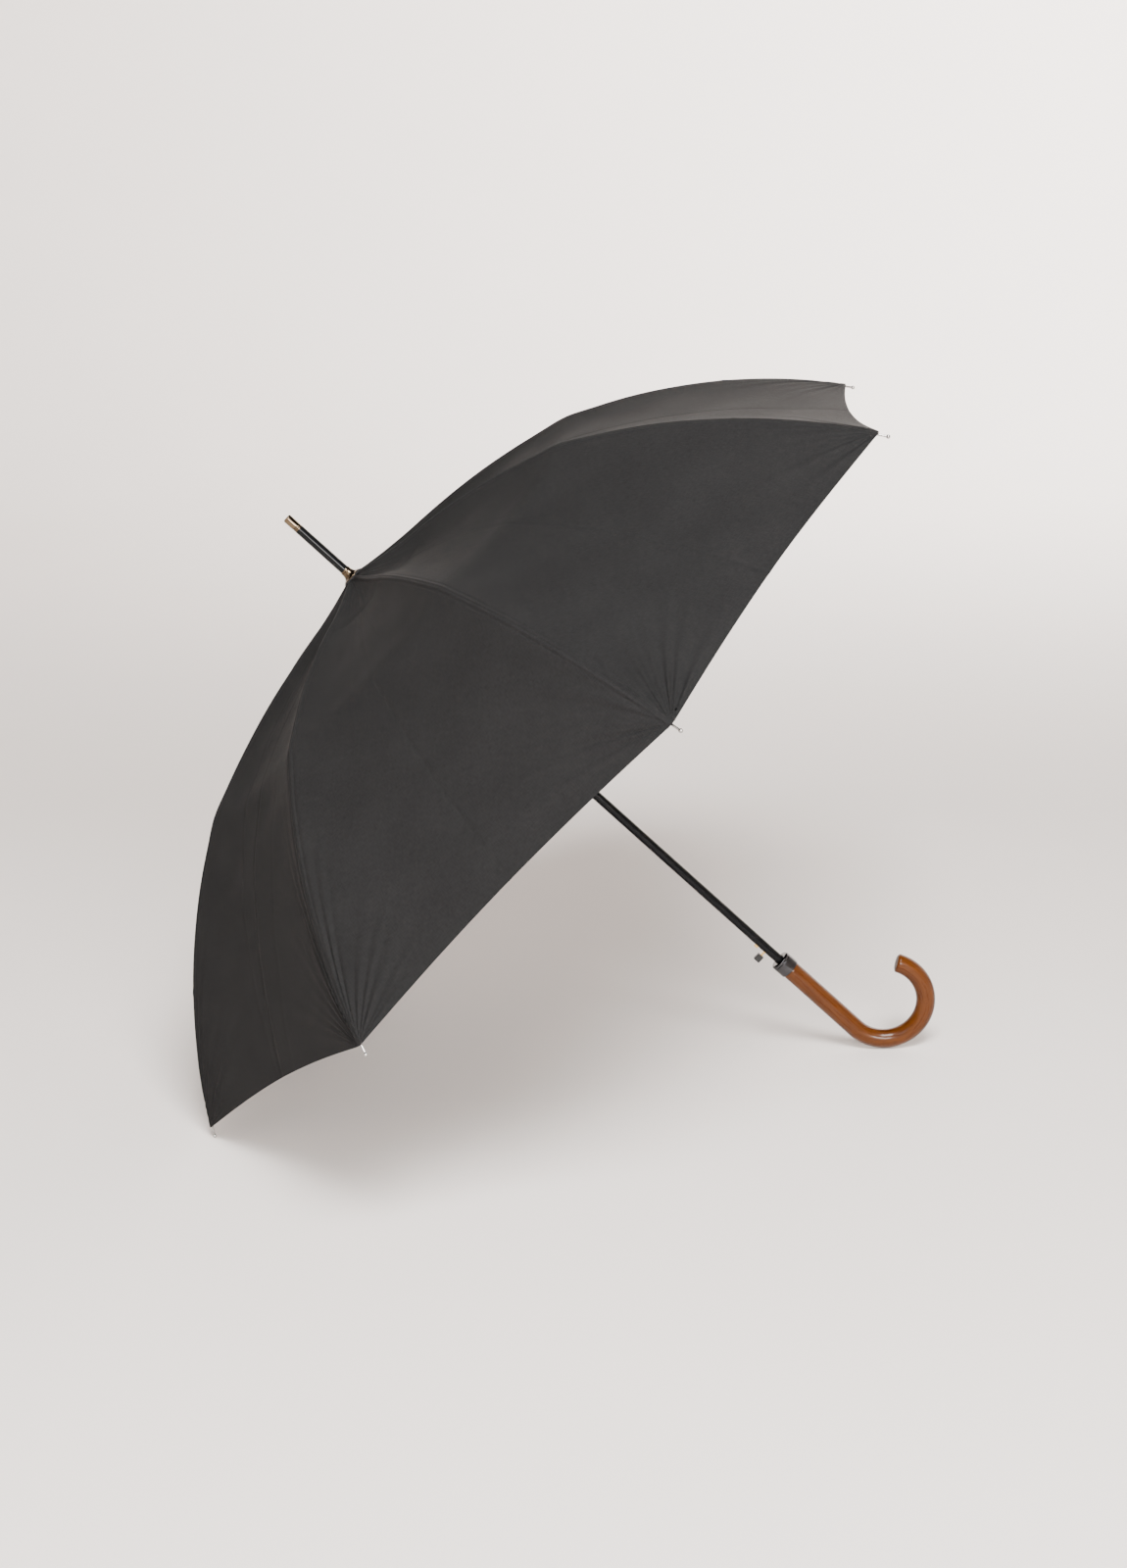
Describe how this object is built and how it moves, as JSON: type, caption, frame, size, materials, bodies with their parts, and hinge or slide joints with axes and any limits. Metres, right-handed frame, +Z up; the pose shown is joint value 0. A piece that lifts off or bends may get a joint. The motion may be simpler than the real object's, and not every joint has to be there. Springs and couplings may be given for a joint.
{
  "type": "stick umbrella",
  "caption": "Open automatic stick umbrella with a domed black fabric canopy on ribs, a steel shaft, a pointed ferrule and a varnished wooden crook handle.",
  "frame": {"origin": "middle of the footprint on the floor, as the open umbrella rests on two rib tips and the bend of its crook", "axes": "+X from the canopy towards the handle along the floor, +Y across, +Z up"},
  "size_m": [0.7644, 0.9648, 0.7015],
  "materials": {
    "shaft_lacquer": "glossy black lacquer",
    "wood": "glossy varnished mid-brown wood",
    "gunmetal": "polished dark gunmetal plating",
    "black_plastic": "black moulded plastic",
    "rubber_washer": "matt black rubber",
    "wire": "bright steel",
    "brass": "brass leaf spring",
    "rib": "black coated spring rod with bright metal tips",
    "stretcher": "black painted steel",
    "canopy": "black satin pongee, fine weave"
  },
  "bodies": {
    "root": {"shaft": "shaft_lacquer", "handle": "wood", "handle_collar": "gunmetal", "crown": "black_plastic", "crown_wire": "wire", "canopy_washer": "rubber_washer", "canopy_cup": "gunmetal", "ferrule_spike": "black_plastic", "ferrule_cap": "gunmetal"},
    "release_catch": {"catch_leaf": "brass", "release_button": "black_plastic"},
    "runner": {"runner": "black_plastic", "runner_wire": "wire"},
    "spring_collar": {"spring_collar": "black_plastic", "spring_collar_wire": "wire", "opening_spring": "wire"},
    "rib_inner_1": {"rib_inner_1": "rib", "canopy_panel_1": "canopy"},
    "rib_outer_1": {"rib_outer_1": "rib"},
    "stretcher_1": {"stretcher_1": "stretcher"},
    "spring_strut_1": {"spring_strut_1": "stretcher"},
    "rib_inner_2": {"rib_inner_2": "rib", "canopy_panel_2": "canopy"},
    "rib_outer_2": {"rib_outer_2": "rib"},
    "stretcher_2": {"stretcher_2": "stretcher"},
    "spring_strut_2": {"spring_strut_2": "stretcher"},
    "rib_inner_3": {"rib_inner_3": "rib", "canopy_panel_3": "canopy"},
    "rib_outer_3": {"rib_outer_3": "rib", "tie_strap": "canopy", "strap_snaps": "wire"},
    "stretcher_3": {"stretcher_3": "stretcher"},
    "spring_strut_3": {"spring_strut_3": "stretcher"},
    "rib_inner_4": {"rib_inner_4": "rib", "canopy_panel_4": "canopy"},
    "rib_outer_4": {"rib_outer_4": "rib"},
    "stretcher_4": {"stretcher_4": "stretcher"},
    "spring_strut_4": {"spring_strut_4": "stretcher"},
    "rib_inner_5": {"rib_inner_5": "rib", "canopy_panel_5": "canopy"},
    "rib_outer_5": {"rib_outer_5": "rib"},
    "stretcher_5": {"stretcher_5": "stretcher"},
    "spring_strut_5": {"spring_strut_5": "stretcher"},
    "rib_inner_6": {"rib_inner_6": "rib", "canopy_panel_6": "canopy"},
    "rib_outer_6": {"rib_outer_6": "rib"},
    "stretcher_6": {"stretcher_6": "stretcher"},
    "spring_strut_6": {"spring_strut_6": "stretcher"},
    "rib_inner_7": {"rib_inner_7": "rib", "canopy_panel_7": "canopy"},
    "rib_outer_7": {"rib_outer_7": "rib"},
    "stretcher_7": {"stretcher_7": "stretcher"},
    "spring_strut_7": {"spring_strut_7": "stretcher"},
    "rib_inner_8": {"rib_inner_8": "rib", "canopy_panel_8": "canopy"},
    "rib_outer_8": {"rib_outer_8": "rib"},
    "stretcher_8": {"stretcher_8": "stretcher"},
    "spring_strut_8": {"spring_strut_8": "stretcher"}
  },
  "joints": [
    {"name": "canopy_fold", "type": "hinge", "parent": "root", "child": "rib_inner_1", "pos_m": [-0.20016, 0.00344, 0.52907], "axis": [-0.2698, 0.9239, -0.2714], "range_deg": [0, 75.03], "stiffness_Nm_per_rad": 0.3, "springref_deg": -85.94, "deforming": ["canopy_panel_1", "canopy_panel_2", "canopy_panel_3", "canopy_panel_4", "canopy_panel_5", "canopy_panel_6", "canopy_panel_7", "canopy_panel_8", "opening_spring", "catch_leaf"]},
    {"name": "rib_fold_2", "type": "hinge", "parent": "root", "child": "rib_inner_2", "pos_m": [-0.2036, 0.00831, 0.52561], "axis": [-0.6514, 0.3827, -0.6551], "range_deg": [0, 75.04]},
    {"name": "rib_fold_3", "type": "hinge", "parent": "root", "child": "rib_inner_3", "pos_m": [-0.20845, 0.00831, 0.52073], "axis": [-0.6514, -0.3827, -0.6551], "range_deg": [0, 75.04]},
    {"name": "rib_fold_4", "type": "hinge", "parent": "root", "child": "rib_inner_4", "pos_m": [-0.21189, 0.00344, 0.51728], "axis": [-0.2698, -0.9239, -0.2714], "range_deg": [0, 75.04]},
    {"name": "rib_fold_5", "type": "hinge", "parent": "root", "child": "rib_inner_5", "pos_m": [-0.21189, -0.00344, 0.51728], "axis": [0.2698, -0.9239, 0.2714], "range_deg": [0, 75.04]},
    {"name": "rib_fold_6", "type": "hinge", "parent": "root", "child": "rib_inner_6", "pos_m": [-0.20845, -0.00831, 0.52073], "axis": [0.6514, -0.3827, 0.6551], "range_deg": [0, 75.04]},
    {"name": "rib_fold_7", "type": "hinge", "parent": "root", "child": "rib_inner_7", "pos_m": [-0.2036, -0.00831, 0.52561], "axis": [0.6514, 0.3827, 0.6551], "range_deg": [0, 75.04]},
    {"name": "rib_fold_8", "type": "hinge", "parent": "root", "child": "rib_inner_8", "pos_m": [-0.20016, -0.00344, 0.52907], "axis": [0.2698, 0.9239, 0.2714], "range_deg": [0, 75.04]},
    {"name": "rib_flex_1", "type": "hinge", "parent": "rib_inner_1", "child": "rib_outer_1", "pos_m": [0.00775, 0.10596, 0.67136], "axis": [-0.2698, 0.9239, -0.2714], "range_deg": [-22.73, 0]},
    {"name": "stretcher_fold_1", "type": "hinge", "parent": "rib_inner_1", "child": "stretcher_1", "pos_m": [0.00775, 0.10596, 0.67136], "axis": [-0.2698, 0.9239, -0.2714], "range_deg": [-150.08, 0]},
    {"name": "strut_fold_1", "type": "hinge", "parent": "stretcher_1", "child": "spring_strut_1", "pos_m": [-0.08927, 0.03548, 0.52787], "axis": [-0.2698, 0.9239, -0.2714], "range_deg": [0, 150.08]},
    {"name": "rib_flex_2", "type": "hinge", "parent": "rib_inner_2", "child": "rib_outer_2", "pos_m": [-0.09791, 0.25581, 0.5651], "axis": [-0.6514, 0.3827, -0.6551], "range_deg": [-22.73, 0]},
    {"name": "stretcher_fold_2", "type": "hinge", "parent": "rib_inner_2", "child": "stretcher_2", "pos_m": [-0.09791, 0.25581, 0.5651], "axis": [-0.6514, 0.3827, -0.6551], "range_deg": [-150.08, 0]},
    {"name": "strut_fold_2", "type": "hinge", "parent": "stretcher_2", "child": "spring_strut_2", "pos_m": [-0.12465, 0.08566, 0.49229], "axis": [-0.6514, 0.3827, -0.6551], "range_deg": [0, 150.08]},
    {"name": "rib_flex_3", "type": "hinge", "parent": "rib_inner_3", "child": "rib_outer_3", "pos_m": [-0.24734, 0.25581, 0.41482], "axis": [-0.6514, -0.3827, -0.6551], "range_deg": [-22.73, 0]},
    {"name": "stretcher_fold_3", "type": "hinge", "parent": "rib_inner_3", "child": "stretcher_3", "pos_m": [-0.24734, 0.25581, 0.41482], "axis": [-0.6514, -0.3827, -0.6551], "range_deg": [-150.08, 0]},
    {"name": "strut_fold_3", "type": "hinge", "parent": "stretcher_3", "child": "spring_strut_3", "pos_m": [-0.17468, 0.08566, 0.44197], "axis": [-0.6514, -0.3827, -0.6551], "range_deg": [0, 150.08]},
    {"name": "rib_flex_4", "type": "hinge", "parent": "rib_inner_4", "child": "rib_outer_4", "pos_m": [-0.353, 0.10596, 0.30856], "axis": [-0.2698, -0.9239, -0.2714], "range_deg": [-22.73, 0]},
    {"name": "stretcher_fold_4", "type": "hinge", "parent": "rib_inner_4", "child": "stretcher_4", "pos_m": [-0.353, 0.10596, 0.30856], "axis": [-0.2698, -0.9239, -0.2714], "range_deg": [-150.08, 0]},
    {"name": "strut_fold_4", "type": "hinge", "parent": "stretcher_4", "child": "spring_strut_4", "pos_m": [-0.21006, 0.03548, 0.40639], "axis": [-0.2698, -0.9239, -0.2714], "range_deg": [0, 150.08]},
    {"name": "rib_flex_5", "type": "hinge", "parent": "rib_inner_5", "child": "rib_outer_5", "pos_m": [-0.353, -0.10596, 0.30856], "axis": [0.2698, -0.9239, 0.2714], "range_deg": [-22.73, 0]},
    {"name": "stretcher_fold_5", "type": "hinge", "parent": "rib_inner_5", "child": "stretcher_5", "pos_m": [-0.353, -0.10596, 0.30856], "axis": [0.2698, -0.9239, 0.2714], "range_deg": [-150.08, 0]},
    {"name": "strut_fold_5", "type": "hinge", "parent": "stretcher_5", "child": "spring_strut_5", "pos_m": [-0.21006, -0.03548, 0.40639], "axis": [0.2698, -0.9239, 0.2714], "range_deg": [0, 150.08]},
    {"name": "rib_flex_6", "type": "hinge", "parent": "rib_inner_6", "child": "rib_outer_6", "pos_m": [-0.24734, -0.25581, 0.41482], "axis": [0.6514, -0.3827, 0.6551], "range_deg": [-22.73, 0]},
    {"name": "stretcher_fold_6", "type": "hinge", "parent": "rib_inner_6", "child": "stretcher_6", "pos_m": [-0.24734, -0.25581, 0.41482], "axis": [0.6514, -0.3827, 0.6551], "range_deg": [-150.08, 0]},
    {"name": "strut_fold_6", "type": "hinge", "parent": "stretcher_6", "child": "spring_strut_6", "pos_m": [-0.17468, -0.08566, 0.44197], "axis": [0.6514, -0.3827, 0.6551], "range_deg": [0, 150.08]},
    {"name": "rib_flex_7", "type": "hinge", "parent": "rib_inner_7", "child": "rib_outer_7", "pos_m": [-0.09791, -0.25581, 0.5651], "axis": [0.6514, 0.3827, 0.6551], "range_deg": [-22.73, 0]},
    {"name": "stretcher_fold_7", "type": "hinge", "parent": "rib_inner_7", "child": "stretcher_7", "pos_m": [-0.09791, -0.25581, 0.5651], "axis": [0.6514, 0.3827, 0.6551], "range_deg": [-150.08, 0]},
    {"name": "strut_fold_7", "type": "hinge", "parent": "stretcher_7", "child": "spring_strut_7", "pos_m": [-0.12465, -0.08566, 0.49229], "axis": [0.6514, 0.3827, 0.6551], "range_deg": [0, 150.08]},
    {"name": "rib_flex_8", "type": "hinge", "parent": "rib_inner_8", "child": "rib_outer_8", "pos_m": [0.00775, -0.10596, 0.67136], "axis": [0.2698, 0.9239, 0.2714], "range_deg": [-22.73, 0]},
    {"name": "stretcher_fold_8", "type": "hinge", "parent": "rib_inner_8", "child": "stretcher_8", "pos_m": [0.00775, -0.10596, 0.67136], "axis": [0.2698, 0.9239, 0.2714], "range_deg": [-150.08, 0]},
    {"name": "strut_fold_8", "type": "hinge", "parent": "stretcher_8", "child": "spring_strut_8", "pos_m": [-0.08927, -0.03548, 0.52787], "axis": [0.2698, 0.9239, 0.2714], "range_deg": [0, 150.08]},
    {"name": "runner_travel", "type": "hinge", "parent": "stretcher_1", "child": "runner", "pos_m": [-0.13336, 0.00344, 0.46265], "axis": [-0.2698, 0.9239, -0.2714], "range_deg": [0, 75.04]},
    {"name": "spring_collar_travel", "type": "hinge", "parent": "spring_strut_1", "child": "spring_collar", "pos_m": [-0.15424, 0.00344, 0.4834], "axis": [-0.2698, 0.9239, -0.2714], "range_deg": [-75.04, 0]},
    {"name": "button_press", "type": "slide", "parent": "root", "child": "release_catch", "axis": [0.7051, 0, 0.7091], "range_m": [0, 0.0032], "stiffness_N_per_m": 400, "springref_m": -0.002}
  ],
  "couplings": [
    {"joint": "rib_fold_2", "follows": "canopy_fold", "ratio": 1},
    {"joint": "rib_fold_3", "follows": "canopy_fold", "ratio": 1},
    {"joint": "rib_fold_4", "follows": "canopy_fold", "ratio": 1},
    {"joint": "rib_fold_5", "follows": "canopy_fold", "ratio": 1},
    {"joint": "rib_fold_6", "follows": "canopy_fold", "ratio": 1},
    {"joint": "rib_fold_7", "follows": "canopy_fold", "ratio": 1},
    {"joint": "rib_fold_8", "follows": "canopy_fold", "ratio": 1},
    {"joint": "rib_flex_1", "follows": "canopy_fold", "ratio": -0.30272},
    {"joint": "stretcher_fold_1", "follows": "canopy_fold", "ratio": -2},
    {"joint": "strut_fold_1", "follows": "canopy_fold", "ratio": 2},
    {"joint": "rib_flex_2", "follows": "canopy_fold", "ratio": -0.30272},
    {"joint": "stretcher_fold_2", "follows": "canopy_fold", "ratio": -2},
    {"joint": "strut_fold_2", "follows": "canopy_fold", "ratio": 2},
    {"joint": "rib_flex_3", "follows": "canopy_fold", "ratio": -0.30272},
    {"joint": "stretcher_fold_3", "follows": "canopy_fold", "ratio": -2},
    {"joint": "strut_fold_3", "follows": "canopy_fold", "ratio": 2},
    {"joint": "rib_flex_4", "follows": "canopy_fold", "ratio": -0.30272},
    {"joint": "stretcher_fold_4", "follows": "canopy_fold", "ratio": -2},
    {"joint": "strut_fold_4", "follows": "canopy_fold", "ratio": 2},
    {"joint": "rib_flex_5", "follows": "canopy_fold", "ratio": -0.30272},
    {"joint": "stretcher_fold_5", "follows": "canopy_fold", "ratio": -2},
    {"joint": "strut_fold_5", "follows": "canopy_fold", "ratio": 2},
    {"joint": "rib_flex_6", "follows": "canopy_fold", "ratio": -0.30272},
    {"joint": "stretcher_fold_6", "follows": "canopy_fold", "ratio": -2},
    {"joint": "strut_fold_6", "follows": "canopy_fold", "ratio": 2},
    {"joint": "rib_flex_7", "follows": "canopy_fold", "ratio": -0.30272},
    {"joint": "stretcher_fold_7", "follows": "canopy_fold", "ratio": -2},
    {"joint": "strut_fold_7", "follows": "canopy_fold", "ratio": 2},
    {"joint": "rib_flex_8", "follows": "canopy_fold", "ratio": -0.30272},
    {"joint": "stretcher_fold_8", "follows": "canopy_fold", "ratio": -2},
    {"joint": "strut_fold_8", "follows": "canopy_fold", "ratio": 2},
    {"joint": "runner_travel", "follows": "canopy_fold", "ratio": 1},
    {"joint": "spring_collar_travel", "follows": "canopy_fold", "ratio": -1}
  ]
}
